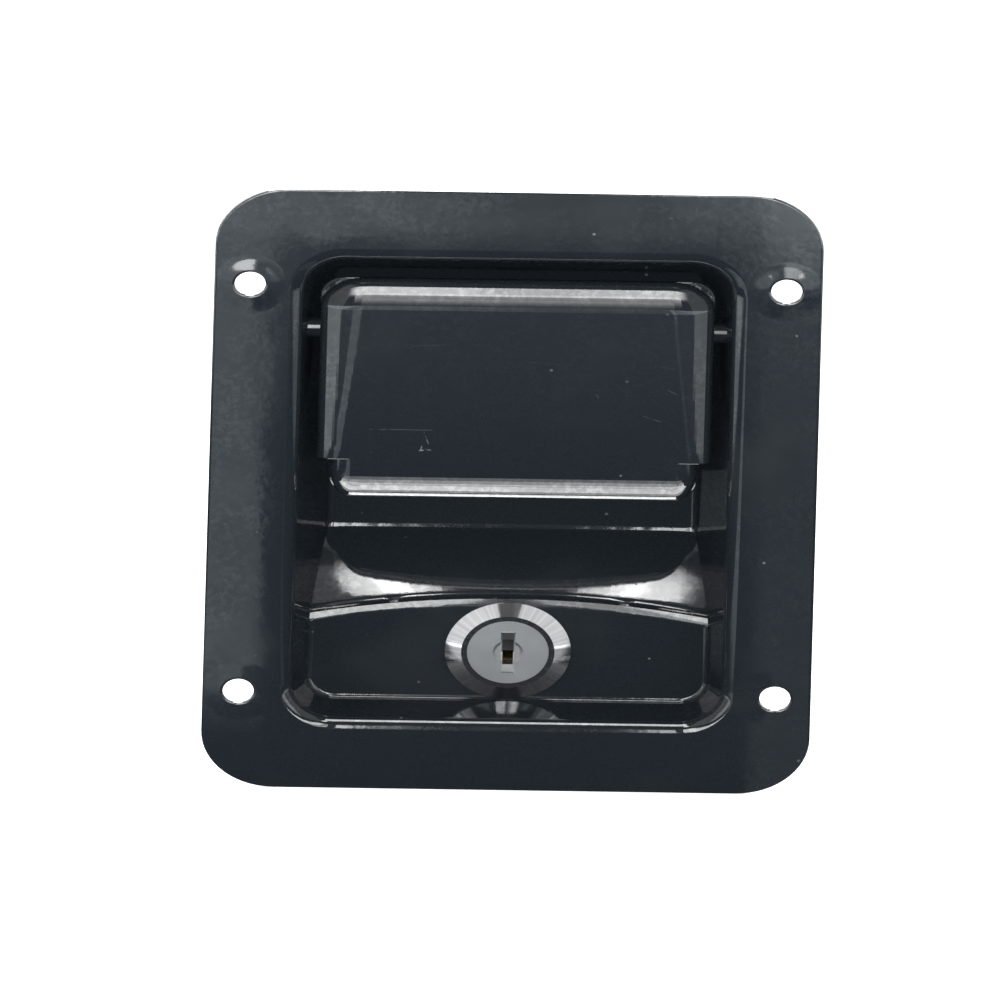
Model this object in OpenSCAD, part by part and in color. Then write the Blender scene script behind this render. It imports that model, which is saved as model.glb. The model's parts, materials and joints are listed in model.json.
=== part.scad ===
// Flush-mount paddle lock: a dished steel pan, a bent paddle on a cross pin, a slam bolt that slides
// in a channel behind the pan, and a key lock whose hooked cam stands in the bolt's way.
// X runs to the right, Y into the door and Z up. The origin is the middle of the four screw holes,
// on the back face of the flange.

/* [Flange] */
// Thickness of the pan's sheet
sheet_t = 1.6; // [1.2:0.1:2]
// Width of the flange beside the dish
flange_border = 15.4; // [13:0.1:20]
// Height of the flange above and below the dish
flange_end = 16; // [15:0.25:22]
// Corner radius of the flange
flange_r = 13; // [6:0.5:18]
// Distance of the screw holes from the sides of the flange
screw_inset = 6.375; // [5.5:0.125:7.5]
// Diameter of the screw holes
screw_d = 5.5; // [4:0.1:6.5]

/* [Dish] */
// Gap between the paddle and the dish's mouth at each side
paddle_gap = 3.6; // [3.4:0.1:4.5]
// Gap between the paddle's top edge and the dish's mouth
mouth_gap = 5.2; // [4.8:0.1:7]
// Corner radius of the dish's mouth
mouth_r = 8; // [7.5:0.25:10]
// Draft of the dish's walls in degrees
draft = 14; // [13:0.25:14.5]
// Radius of the bend between flange and wall
rim_r = 3; // [1:0.25:3.5]
// Depth of the lock panel below the front of the flange
panel_depth = 13; // [11:0.25:14]
// Depth of the finger pocket below the front of the flange
pocket_depth = 24; // [23:0.25:25]
// Gap between the bezel and the crest between lock panel and ramp, at its middle
crest_gap = 1; // [0.8:0.1:2]
// Radius of the arched crest
crest_r = 160; // [120:5:250]
// Radius of the bend over the crest
crest_bend_r = 7; // [2:0.5:8]
// Height of the ramp from its crest to its foot
ramp_h = 14.7; // [12:0.1:16]

/* [Paddle] */
// Thickness of the paddle's sheet
paddle_t = 1.5; // [1.2:0.1:1.8]
// Width of the paddle over its ears
paddle_w = 70; // [64:0.5:80]
// Step from each ear to the bare end of the paddle below it
tongue_step = 2.5; // [2.5:0.1:4]
// Height of the paddle's top edge
paddle_top_z = 48.8; // [47:0.2:49.2]
// Height of the paddle's bottom edge
paddle_low_z = -2.3; // [-5:0.1:1]
// Radius of the paddle's rolled edges
roll_r = 3.5; // [2.5:0.25:3.75]
// Corner radius of the paddle
paddle_corner_r = 4; // [3.75:0.25:6]
// Depth of the paddle's face below the front of the flange
paddle_set = 1; // [0.4:0.1:1.6]
// Depth of the rolled lips at the top and bottom
lip_d = 4.5; // [4:0.25:5]
// Height of the lower ends of the ears
ear_low_z = 6.7; // [2:0.1:12]
// Depth of the ears at their lower ends
ear_d = 7; // [5:0.25:9]

/* [Hinge] */
// Diameter of the hinge pin
pin_d = 4.8; // [4:0.1:5.2]
// Height of the hinge pin
pin_z = 36.5; // [35.5:0.1:37.5]
// Depth of the hinge pin below the front of the flange
pin_depth = 8; // [7.6:0.1:8.3]
// Radius of the ears round the pin
ear_boss_r = 4.2; // [3.8:0.1:4.4]
// Swing of the paddle in degrees
swing = 34; // [28:1:34]
// Diameter of the clips on the pin's ends
clip_d = 8.5; // [7:0.25:8.75]
// Thickness of the clips on the pin's ends
clip_t = 1; // [0.6:0.1:1.4]
// Wire of the paddle's torsion springs
paddle_wire_d = 1.4; // [1:0.1:1.6]
// Turns of each torsion spring
paddle_turns = 5; // [3:1:6]

/* [Paddle arm] */
// Width of the arm
arm_w = 8; // [6:0.25:10]
// Distance from the pin to the middle of the arm's nose
arm_reach = 21.2; // [20.8:0.1:21.8]
// Rise of the arm at rest in degrees
arm_rise = 8; // [6:0.5:9]
// Radius of the arm's nose
nose_r = 2.5; // [2:0.1:2.8]
// Radius of the arm's hub
hub_r = 4.8; // [4.2:0.1:5]
// Width of the arm's weld foot
foot_w = 20; // [12:0.5:26]

/* [Bolt and housing] */
// Width of the slam bolt
bolt_w = 25; // [23:0.25:27]
// Thickness of the slam bolt
bolt_t = 11.6; // [11.2:0.1:13]
// Height of the bolt's tip at rest
bolt_tip_z = 64; // [62:0.25:65]
// Height of the bolt's lower end at rest
bolt_low_z = 20; // [18:0.25:21]
// Height of the bevel on the bolt's tip
bevel_h = 11; // [8:0.25:12]
// Flat left on the bolt's tip
tip_flat = 2.4; // [1.5:0.1:4]
// Sheet of the latch housing
housing_t = 1.6; // [1.2:0.1:2]
// Height of the housing's upper end
housing_top_z = 49; // [46:0.25:50]
// Height of the housing's lower end
housing_low_z = -4; // [-5:0.25:-3.5]
// Width of each housing foot
housing_foot = 9.5; // [8:0.25:10.5]
// Diameter of the housing rivets
rivet_d = 3.2; // [2.6:0.1:3.6]
// Outer diameter of the bolt spring
spring_d = 7.4; // [6.4:0.1:7.8]
// Wire of the bolt spring
spring_wire_d = 1.1; // [0.8:0.05:1.2]
// Turns of the bolt spring
spring_turns = 11; // [8:1:13]
// Diameter of the rod inside the bolt spring
guide_d = 4; // [3:0.1:4.2]
// Length of the rod above the housing's end tab
guide_l = 17; // [12:0.5:18]

/* [Lock] */
// Gap between the bezel and the dish's wall under it
bezel_gap = 0.16; // [0.1:0.02:0.6]
// How far the lock's bezel reaches past its barrel
bezel_border = 2; // [1:0.1:2.5]
// Height of the bezel in front of the panel
bezel_h = 2.6; // [2:0.1:3.5]
// Diameter of the ring at the bezel's front
ring_d = 16.6; // [15.4:0.1:18]
// Diameter of the plug's face
face_d = 14.5; // [13.6:0.1:14.8]
// Diameter of the plug's body
plug_d = 12; // [11.5:0.1:12.4]
// Diameter of the barrel
barrel_d = 18.4; // [17.8:0.1:18.6]
// Distance across the barrel's flats
barrel_flats = 15.8; // [15.2:0.1:16.4]
// Length of the barrel behind the panel's front
barrel_l = 19; // [18.8:0.1:19.2]
// Width of the keyway
keyway_w = 1.9; // [1.5:0.1:2.2]
// Height of the keyway
keyway_h = 5.8; // [5:0.1:6.4]
// Wall of the nut between its thread and its flats
nut_wall = 1.8; // [1.2:0.1:2]
// Thickness of the nut
nut_t = 5; // [4:0.25:6]
// How far the washer under the nut reaches past the barrel
washer_border = 2; // [1.2:0.1:2.1]
// Thickness of the washers
washer_t = 1; // [0.8:0.05:1.2]
// Thickness of the cam
cam_t = 2; // [1.6:0.1:2.2]
// Reach of the cam from the lock's axis
cam_reach = 28.5; // [28:0.1:28.8]
// Width of the cam's shank
cam_w = 7.5; // [6:0.25:8.5]
// Number of wafers in the plug
wafer_count = 5; // [3:1:5]

/* [Clearances] */
// Radial clearance of pins, shafts and rivets
fit = 0.05; // [0.03:0.01:0.08]
// Clearance round sliding pieces
slide_gap = 0.4; // [0.3:0.05:0.5]
// Clearance between the arm's nose and the bolt
nose_gap = 0.75; // [0.7:0.05:0.9]
// Clearance between the cam and the lug that it blocks
lug_gap = 0.6; // [0.4:0.05:0.8]

/* [Hidden] */
$fn = 64;
// How far cutters run past what they cut, and how far joined pieces lap
over = 1;
lap = 0.1;

// Widths, from the paddle outwards
mouth_w = paddle_w + 2 * paddle_gap;
flange_w = mouth_w + 2 * flange_border;
screw_pitch = flange_w - 2 * screw_inset;
tongue_w = paddle_w - 2 * tongue_step;

slope = tan(draft);
skew = 1 / cos(draft);

// Heights, from the paddle outwards and then up from the mouth's lower edge to the lock and the crest
mouth_h = 2 * (paddle_top_z + mouth_gap);
flange_h = mouth_h + 2 * flange_end;
bezel_d = barrel_d + 2 * bezel_border;
nut_flats = barrel_d + 2 * nut_wall;
washer_d = barrel_d + 2 * washer_border;
lock_z = slope * panel_depth + bezel_gap + bezel_d / 2 - mouth_h / 2;
crest_z = lock_z + bezel_d / 2 + crest_gap;

corner_x = mouth_w / 2 - mouth_r;
corner_z = mouth_h / 2 - mouth_r;

// Every module is drawn facing the viewer: x right, y up and z out of the door. These are levels in z.
function level(depth) = sheet_t - depth;
panel_face = level(panel_depth);
panel_back = panel_face - sheet_t;
pocket_face = level(pocket_depth);
pocket_back = pocket_face - sheet_t;
paddle_face = level(paddle_set);
paddle_back = paddle_face - paddle_t;
pin_level = level(pin_depth);

// Half width of the dish at a depth, measured outside its front surface by a wall
function wall_x(depth, wall) = mouth_w / 2 - slope * depth + wall * skew;

// Ramp: how far it climbs for each unit of depth, and its thickness measured along the height
ramp_run = ramp_h / (pocket_depth - panel_depth);
ramp_wall = sheet_t * sqrt(1 + ramp_run * ramp_run);

// Pin and torsion springs
clip_gap = 0.1;
pin_stub = 1;
pin_end = wall_x(pin_depth - clip_d / 2, sheet_t) + clip_gap;
coil_gap = 0.35;
wire_gap = 0.1;
spring_leg = 14;

// Arm and bolt
nose_y = pin_z + arm_reach * sin(arm_rise);
throw = arm_reach * (sin(arm_rise) + sin(swing - arm_rise));
arm_slot_w = arm_w + 6 * slide_gap;
foot_t = 2;
arm_taper = 0.9;
arm_half = nose_r + arm_taper;
arm_stop_gap = 0.3;
arm_slot_slack = 1;
bolt_face = pocket_back - slide_gap;
bolt_back = bolt_face - bolt_t;
web_face = bolt_back - slide_gap;
web_back = web_face - housing_t;
pocket_floor_y = nose_y - nose_r - nose_gap;
pocket_roof_y = nose_y + nose_r + throw + nose_gap;
nose_back_gap = 1;
nose_room = pin_level - arm_reach - nose_r - nose_back_gap;
spring_z = bolt_face - bolt_t / 2;
spring_bore_d = spring_d + 2 * slide_gap;
bolt_bridge = 2.5;
spring_roof_y = pocket_floor_y - bolt_bridge;
spring_seat_y = housing_low_z + housing_t;
channel_x = bolt_w / 2 + slide_gap;
foot_x = channel_x + housing_t;
rivet_x = foot_x + housing_foot / 2;
rivet_head_d = 1.8 * rivet_d;
rivet_head_h = 1.2;
rivet_face_h = 0.8;
rivet_inset = 7;
spring_slack = 0.05;
guide_step = 1;

// Lock, from the panel backwards
bezel_face = panel_face + bezel_h;
plug_sink = 0.2;
plug_face = bezel_face - plug_sink;
bezel_base = 0.6;
plug_step = panel_face + bezel_base;
barrel_end = panel_face - barrel_l;
stop_wall = 0.9;
barrel_stop = barrel_end - stop_wall;
stop_gap = 0.1;
stop_front = barrel_end - stop_gap;
cam_front = stop_front - washer_t;
cam_back = cam_front - cam_t;
cam_washer_back = cam_back - washer_t * 0.8;
tenon_w = 7;
screw_shank_d = 4;
screw_l = 6.5;
screw_tip_gap = 0.5;
screw_head_h = 2.4;
screw_slot = [1, 5];
stop_rim = 1.4;
broach_depth = 0.5;
broach_w = 2.6;
broach_h = 9.6;
dimple_d = 5.4;
keyway_end = 3;
stop_angle = 28;
stop_slack = 3;

// Lock bar: its lug hangs just over the cam's end, and the notch above the lug clears the cam's hook
bar_margin = 0.4;
bar_t = cam_t + 2 * bar_margin;
bar_front = cam_front + bar_margin;
bar_back = bar_front - bar_t;
lug_h = 4;
lug_low_y = lock_z + cam_reach + lug_gap;
shank_x = 1;
hook_w = 6.5;
hook_x = shank_x + hook_w;
hook_h = 7;
hook_gap = 0.7;
bar_inner_x = hook_x + hook_gap;
bar_set = 0.1;
bar_outer_x = bolt_w / 2 - bar_set;
lug_side_gap = 0.8;
lug_x = shank_x + lug_side_gap;
bar_wide_x = 5.7;
bar_step_y = lock_z + cam_reach + throw + 2 * lug_gap;
bar_lap = 12.5;
bar_top_y = bolt_low_z + bar_lap;
bar_rivet_d = 2.8;
bar_rivet_bite = 3.5;
bar_rivet_inset = 3.2;

// Wafers
wafer_t = 1;
wafer_pitch = 2.6;
wafer_w = 4.2;
wafer_h = 10.4;
wafer_drop = 0.3;
wafer_start = 3;
wafer_slack = 0.2;
wafer_room = 1;
wafer_window = 0.6;

// Stands what was drawn facing the viewer upright in the part's frame
module upright() {
    rotate([90, 0, 0]) children();
}

// Sweeps a profile (distance, height) round a rectangle with corners at half_w and half_h
module round_sweep(half_w, half_h) {
    for (mx = [0, 1], my = [0, 1])
        mirror([mx, 0, 0]) mirror([0, my, 0])
            translate([half_w, half_h, 0]) rotate_extrude(angle = 90) children();
    for (mx = [0, 1])
        mirror([mx, 0, 0]) translate([half_w, half_h, 0])
            rotate([90, 0, 0]) linear_extrude(2 * half_h) children();
    for (my = [0, 1])
        mirror([0, my, 0]) translate([-half_w, half_h, 0])
            rotate([90, 0, 90]) linear_extrude(2 * half_w) children();
}

// Box between two corners
module box(low, high) {
    translate(low) cube(high - low);
}

// Plate with round corners between two levels
module plate(w, h, r, low, high) {
    round_sweep(w / 2 - r, h / 2 - r) translate([0, low]) square([r, high - low]);
    box([r - w / 2, r - h / 2, low], [w / 2 - r, h / 2 - r, high]);
}

// Stretch of the dish between two depths, as a solid whose skin lies outside the front surface by wall
module dish(wall, from, to) {
    round_sweep(corner_x, corner_z)
        polygon([
            [0, level(to)],
            [wall_x(to, wall) - corner_x, level(to)],
            [wall_x(from, wall) - corner_x, level(from)],
            [0, level(from)]
        ]);
    box([-corner_x, -corner_z, level(to)], [corner_x, corner_z, level(from)]);
}

// Cone under the ramp: its top edge is the arched crest, and it is lowered by a wall
module ramp_cone(wall, to) {
    low_r = crest_r + (to + over - panel_depth) * ramp_run - wall;
    high_r = crest_r - over * ramp_run - wall;
    translate([0, crest_z - crest_r, level(to + over)])
        cylinder(h = to - panel_depth + 2 * over, r1 = low_r, r2 = high_r, $fn = 200);
}

// What the rounded crest takes off the sharp edge between lock panel and ramp
module crest_bend() {
    tilt = atan2(1, ramp_run);
    reach = crest_bend_r * tan(tilt / 2);
    edge = [crest_r, panel_face];
    on_ramp = edge + reach * [cos(tilt), -sin(tilt)];
    centre = edge - [reach, crest_bend_r];
    translate([0, crest_z - crest_r, 0]) rotate(60) rotate_extrude(angle = 60, $fn = 200) difference() {
        polygon([edge + [0, over], edge, on_ramp, centre, [centre.x, panel_face + over]]);
        translate(centre) circle(crest_bend_r);
    }
}

// What the rounded bend between flange and wall takes off the sharp edge
module rim_bend() {
    edge = [mouth_r, sheet_t];
    centre = [mouth_r - slope * rim_r + skew * rim_r, sheet_t - rim_r];
    on_wall = centre - rim_r * [cos(draft), -sin(draft)];
    round_sweep(corner_x, corner_z) difference() {
        polygon([edge, on_wall, centre, [centre.x, sheet_t]]);
        translate(centre) circle(rim_r);
    }
}

// Round bar along X through the hinge axis
module on_hinge(d, from, to) {
    translate([from, pin_z, pin_level]) rotate([0, 90, 0]) cylinder(d = d, h = to - from);
}

// Round bar along the lock's axis between two levels
module on_lock(d, low, high) {
    translate([0, lock_z, low]) cylinder(d = d, h = high - low);
}

// Double-D outline of the lock's barrel, grown by a clearance
module barrel_outline(grow) {
    intersection() {
        circle(d = barrel_d + 2 * grow);
        square([barrel_flats + 2 * grow, 2 * barrel_d], center = true);
    }
}

// Places of the rivets that hold the housing
module at_rivets() {
    for (x = [-rivet_x, rivet_x], y = [housing_low_z + rivet_inset, housing_top_z - rivet_inset])
        translate([x, y, 0]) children();
}

// Height of the arm's upper (side 1) or lower (side -1) edge behind the pocket floor at an angle
function arm_edge_y(angle, side) =
    pin_z + (pin_level - pocket_back) * tan(angle) + side * arm_half / cos(angle);

module pan() color("#1c1e22") upright() difference() {
    union() {
        plate(flange_w, flange_h, flange_r, 0, sheet_t);
        dish(sheet_t, sheet_t / 2, panel_depth + sheet_t);
        difference() {
            dish(sheet_t, panel_depth + sheet_t, pocket_depth + sheet_t);
            ramp_cone(ramp_wall, pocket_depth + sheet_t);
        }
    }
    dish(0, -over, panel_depth);
    difference() {
        dish(0, panel_depth, pocket_depth);
        ramp_cone(0, pocket_depth);
    }
    intersection() {
        dish(0, panel_depth - over, pocket_depth);
        crest_bend();
    }
    rim_bend();
    for (x = [-1, 1], y = [-1, 1])
        translate([x * screw_pitch / 2, y * screw_pitch / 2, -over])
            cylinder(d = screw_d, h = sheet_t + 2 * over);
    on_hinge(pin_d + 2 * fit, -mouth_w, mouth_w);
    box([-arm_slot_w / 2, arm_edge_y(arm_rise - swing, -1) - arm_slot_slack, pocket_back - over],
        [arm_slot_w / 2, arm_edge_y(arm_rise, 1) + arm_stop_gap, pocket_face + over]);
    at_rivets() translate([0, 0, pocket_back - over])
        cylinder(d = rivet_d + 2 * fit, h = sheet_t + 2 * over);
    translate([0, lock_z, panel_back - over]) linear_extrude(sheet_t + 2 * over) barrel_outline(2 * fit);
}

module hinge_pin() color("#1c1e22") upright() {
    on_hinge(pin_d, -pin_end - clip_t - pin_stub, pin_end + clip_t + pin_stub);
}

module pin_clips() color("#8d8f92") upright() for (m = [0, 1]) mirror([m, 0, 0]) difference() {
    on_hinge(clip_d, pin_end, pin_end + clip_t);
    on_hinge(pin_d + 2 * fit, pin_end - over, pin_end + clip_t + over);
}

// Tray as wide as the paddle or its tongue, with rolled front edges, grown inwards by a wall
module tray(w, wall, back) {
    corner = paddle_corner_r - wall;
    roll = roll_r - wall;
    half_w = w / 2 - paddle_corner_r;
    half_h = (paddle_top_z - paddle_low_z) / 2 - paddle_corner_r;
    face = paddle_face - wall;
    translate([0, (paddle_top_z + paddle_low_z) / 2, 0]) {
        round_sweep(half_w, half_h) {
            translate([0, back]) square([corner, face - roll - back]);
            translate([0, face - roll]) square([corner - roll, roll]);
            translate([corner - roll, face - roll]) intersection() {
                circle(roll);
                square(roll);
            }
        }
        box([-half_w, -half_h, back], [half_w, half_h, face]);
    }
}

// Stretch of the bent sheet between two heights
module bent_sheet(w, low_z, high_z) {
    back = pin_level - 2 * ear_boss_r;
    intersection() {
        difference() {
            tray(w, 0, back);
            tray(w, paddle_t, back - over);
        }
        box([-w, low_z, back - over], [w, high_z, paddle_face + over]);
    }
}

// Side view of what is left of the tray: the lips all round, and the ears
module paddle_keep() {
    ear_back = pin_level - ear_boss_r;
    translate([-paddle_w, 0, 0]) rotate([90, 0, 90]) linear_extrude(2 * paddle_w) {
        translate([paddle_low_z - over, paddle_face - lip_d])
            square([paddle_top_z - paddle_low_z + 2 * over, lip_d + over]);
        polygon([
            [ear_low_z, paddle_face],
            [ear_low_z, level(ear_d)],
            [pin_z - 2 * ear_boss_r, ear_back],
            [pin_z, ear_back],
            [pin_z + ear_boss_r, pin_level],
            [pin_z + ear_boss_r, paddle_face]
        ]);
        translate([pin_z, pin_level]) circle(ear_boss_r);
    }
}

module paddle() color("#202227") upright() difference() {
    intersection() {
        union() {
            bent_sheet(paddle_w, ear_low_z, paddle_top_z + over);
            bent_sheet(tongue_w, paddle_low_z - over, ear_low_z + lap);
        }
        paddle_keep();
    }
    on_hinge(pin_d + 2 * fit, -paddle_w, paddle_w);
}

module paddle_arm() color("#2a2c30") upright() difference() {
    union() {
        translate([-arm_w / 2, pin_z, pin_level]) rotate([90, 0, 90]) linear_extrude(arm_w) {
            circle(hub_r);
            rotate(arm_rise) {
                translate([0, -arm_reach]) circle(nose_r);
                polygon([[-arm_half, 0], [-nose_r, -arm_reach], [nose_r, -arm_reach], [arm_half, 0]]);
            }
            translate([-hub_r, 0]) square([2 * hub_r, paddle_back - pin_level]);
        }
        box([-foot_w / 2, pin_z - 2 * hub_r, paddle_back - foot_t],
            [foot_w / 2, pin_z + 1.6 * hub_r, paddle_back]);
    }
    on_hinge(pin_d + 2 * fit, -foot_w, foot_w);
}

// Unit vector
function unit(v) = v / norm(v);

// Round wire along a path that never runs along the axis
module wire(path, d, axis, sides = 8) {
    count = len(path);
    ahead = [for (i = [0 : count - 1]) unit(path[min(i + 1, count - 1)] - path[max(i - 1, 0)])];
    rings = [
        for (i = [0 : count - 1])
            let (u = unit(cross(ahead[i], axis)), v = cross(ahead[i], u))
                for (s = [0 : sides - 1])
                    path[i] + d / 2 * (cos(360 * s / sides) * u + sin(360 * s / sides) * v)
    ];
    walls = [
        for (i = [0 : count - 2], s = [0 : sides - 1])
            let (next = (s + 1) % sides)
                [i * sides + s, i * sides + next, (i + 1) * sides + next, (i + 1) * sides + s]
    ];
    first = [[for (s = [sides - 1 : -1 : 0]) s]];
    last = [[for (s = [0 : sides - 1]) (count - 1) * sides + s]];
    polyhedron(points = rings, faces = concat(walls, first, last), convexity = 10);
}

// Torsion spring: one leg lies on the paddle's back, the coil is round the pin, the other leg is on the pan
module paddle_spring() {
    coil_r = pin_d / 2 + coil_gap + paddle_wire_d / 2;
    pitch = paddle_wire_d + wire_gap;
    inner_x = foot_w / 2 + paddle_wire_d;
    steps = 20;
    front = paddle_back - paddle_wire_d / 2 - wire_gap;
    rear = pocket_face + paddle_wire_d / 2 + wire_gap;
    turns = paddle_turns + 0.25;
    outer_x = inner_x + pitch * turns;
    coil = [
        for (i = [0 : turns * steps])
            let (a = 360 * i / steps)
                [outer_x - pitch * i / steps, pin_z + coil_r * sin(a), pin_level + coil_r * cos(a)]
    ];
    wire(
        concat(
            [
                [outer_x, pin_z - spring_leg, front],
                [outer_x, pin_z - spring_leg / 2, (front + pin_level + coil_r) / 2]
            ],
            coil,
            [[inner_x, pin_z + coil_r, rear]]
        ),
        paddle_wire_d, [1, 0, 0]
    );
}

module paddle_spring_right() color("#a8aaac") upright() paddle_spring();
module paddle_spring_left() color("#a8aaac") upright() mirror([1, 0, 0]) paddle_spring();

module latch_housing() color("#24262a") upright() difference() {
    union() {
        for (m = [0, 1]) mirror([m, 0, 0]) {
            box([channel_x, housing_low_z, web_back], [foot_x, housing_top_z, pocket_back]);
            box([foot_x, housing_low_z, pocket_back - housing_t],
                [foot_x + housing_foot, housing_top_z, pocket_back]);
        }
        box([-channel_x, housing_low_z, web_back], [channel_x, housing_top_z, web_face]);
        box([-channel_x, housing_low_z, web_face], [bar_wide_x - slide_gap, spring_seat_y, bolt_face]);
    }
    at_rivets() translate([0, 0, pocket_back - housing_t - over])
        cylinder(d = rivet_d + 2 * fit, h = housing_t + 2 * over);
    translate([0, housing_low_z - over, spring_z]) rotate([-90, 0, 0])
        cylinder(d = guide_d - guide_step + 2 * fit, h = housing_t + 2 * over);
}

module housing_rivets() color("#3a3c40") upright() at_rivets() {
    back = pocket_back - housing_t;
    translate([0, 0, back]) cylinder(d = rivet_d, h = sheet_t + housing_t);
    translate([0, 0, back - rivet_head_h])
        cylinder(d1 = rivet_head_d * 0.7, d2 = rivet_head_d, h = rivet_head_h);
    translate([0, 0, pocket_face]) cylinder(d = rivet_head_d, h = rivet_face_h);
}

module spring_guide() color("#8d8f92") upright() translate([0, spring_seat_y, spring_z]) rotate([-90, 0, 0]) {
    cylinder(d = guide_d, h = guide_l);
    translate([0, 0, -housing_t]) cylinder(d = guide_d - guide_step, h = housing_t);
    translate([0, 0, -housing_t - guide_step]) cylinder(d = guide_d + guide_step, h = guide_step);
}

module bolt_spring() color("#a8aaac") upright() {
    steps = 20;
    turn_r = (spring_d - spring_wire_d) / 2;
    low = spring_seat_y + spring_wire_d / 2 + spring_slack;
    high = spring_roof_y - spring_wire_d / 2 - spring_slack;
    count = spring_turns * steps;
    wire(
        [
            for (i = [0 : count])
                let (a = 360 * i / steps, part = min(max((i / steps - 1) / (spring_turns - 2), 0), 1))
                let (ends = spring_wire_d * (min(i / steps, 1) + max(i / steps - spring_turns + 1, 0)))
                    [turn_r * cos(a), low + ends + (high - low - 2 * spring_wire_d) * part,
                     spring_z + turn_r * sin(a)]
        ],
        spring_wire_d, [0, 1, 0]
    );
}

module slam_bolt() color("#b4b6b8") upright() difference() {
    translate([-bolt_w / 2, 0, 0]) rotate([90, 0, 90]) linear_extrude(bolt_w) polygon([
        [bolt_low_z, bolt_back],
        [bolt_tip_z - bevel_h, bolt_back],
        [bolt_tip_z, bolt_face - tip_flat],
        [bolt_tip_z, bolt_face],
        [bolt_low_z, bolt_face]
    ]);
    box([-arm_slot_w / 2, pocket_floor_y, nose_room], [arm_slot_w / 2, pocket_roof_y, bolt_face + over]);
    translate([0, bolt_low_z - over, spring_z]) rotate([-90, 0, 0])
        cylinder(d = spring_bore_d, h = spring_roof_y - bolt_low_z + over);
    box([bar_wide_x - bar_set, bolt_low_z - over, bolt_back - over],
        [bolt_w, bar_top_y + bar_set, bar_front]);
    at_bar_rivets() translate([0, 0, bar_front - over])
        cylinder(d = bar_rivet_d + 2 * fit, h = over + bar_rivet_bite + slide_gap);
}

// Places of the rivets that hold the lock bar on the bolt
module at_bar_rivets() {
    for (y = [bolt_low_z + bar_rivet_inset, bar_top_y - bar_rivet_inset])
        translate([(bar_wide_x + bar_outer_x) / 2, y, 0]) children();
}

module lock_bar() color("#a0a2a5") upright() difference() {
    union() {
        box([bar_wide_x, bar_step_y, bar_back], [bar_outer_x, bar_top_y, bar_front]);
        box([bar_inner_x, lug_low_y, bar_back], [bar_outer_x, bar_top_y - over, bar_front]);
        box([lug_x, lug_low_y, bar_back], [bar_outer_x, lug_low_y + lug_h, bar_front]);
    }
    at_bar_rivets() translate([0, 0, bar_back - over])
        cylinder(d = bar_rivet_d + 2 * fit, h = bar_t + 2 * over);
}

module lock_bar_rivets() color("#8d8f92") upright() at_bar_rivets() {
    translate([0, 0, bar_back]) cylinder(d = bar_rivet_d, h = bar_t + bar_rivet_bite);
    translate([0, 0, bar_back - rivet_head_h])
        cylinder(d1 = bar_rivet_d * 1.1, d2 = bar_rivet_d * 1.7, h = rivet_head_h);
}

module lock_barrel() color("#d5d7d9") upright() difference() {
    union() {
        translate([0, lock_z, 0]) {
            translate([0, 0, panel_face]) cylinder(d = bezel_d, h = bezel_base);
            translate([0, 0, panel_face + bezel_base])
                cylinder(d1 = bezel_d, d2 = ring_d, h = bezel_h - bezel_base);
            translate([0, 0, barrel_end]) linear_extrude(barrel_l) barrel_outline(0);
            // The end wall that stops the plug at each end of its quarter turn
            translate([0, 0, barrel_stop]) rotate(stop_angle + 90 + stop_slack)
                rotate_extrude(angle = 270 - stop_angle - 2 * stop_slack)
                    translate([plug_d / 2 + stop_wall, 0])
                        square([barrel_flats / 2 - plug_d / 2 - stop_wall, stop_wall]);
        }
    }
    on_lock(plug_d + 2 * fit, barrel_stop - over, bezel_face);
    on_lock(face_d + 2 * fit, plug_step - fit, bezel_face + over);
    // Grooves that take the wafers at either end of the turn
    for (turn = [0, 90]) translate([0, lock_z, 0]) rotate(-turn)
        box([-wafer_w / 2 - wafer_slack, 0, barrel_end + wafer_room],
            [wafer_w / 2 + wafer_slack, plug_d / 2 + wafer_room, plug_step - 2 * wafer_room]);
}

module lock_washer() color("#a8aaac") upright() difference() {
    on_lock(washer_d, panel_back - washer_t, panel_back);
    on_lock(barrel_d + 4 * fit, panel_back - washer_t - over, panel_back + over);
}

module lock_nut() color("#a8aaac") upright() difference() {
    translate([0, lock_z, panel_back - washer_t - nut_t])
        cylinder(d = nut_flats / cos(30), h = nut_t, $fn = 6);
    on_lock(barrel_d + 2 * fit, panel_back - washer_t - nut_t - over, panel_back);
}

// Level of the front of a wafer
function wafer_z(i) = plug_step - wafer_start - (i + 1) * wafer_pitch;

module lock_plug() color("#c9c6bf") upright() difference() {
    union() {
        on_lock(face_d, plug_step, plug_face);
        on_lock(plug_d, barrel_end, plug_step + lap);
        translate([0, lock_z, (cam_back + barrel_end) / 2 + lap])
            cube([tenon_w, tenon_w, barrel_end - cam_back], center = true);
    }
    // Keyway, with a broached mouth and a dimple that guides the key
    translate([0, lock_z, 0]) {
        box([-keyway_w / 2, -keyway_h / 2, barrel_end + keyway_end],
            [keyway_w / 2, keyway_h / 2, plug_face + over]);
        box([-broach_w / 2, -broach_h / 2, plug_face - broach_depth],
            [broach_w / 2, broach_h / 2, plug_face + over]);
        translate([0, 0, plug_face - broach_depth])
            cylinder(d1 = dimple_d - 2 * broach_depth, d2 = dimple_d + 2 * broach_depth, h = 2 * broach_depth);
    }
    for (i = [0 : wafer_count - 1])
        translate([0, lock_z, wafer_z(i)])
            cube([wafer_w + 4 * fit, 2 * plug_d, wafer_t + 4 * fit], center = true);
    on_lock(screw_shank_d + 2 * fit, cam_back - over, cam_washer_back + screw_l);
}

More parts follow.
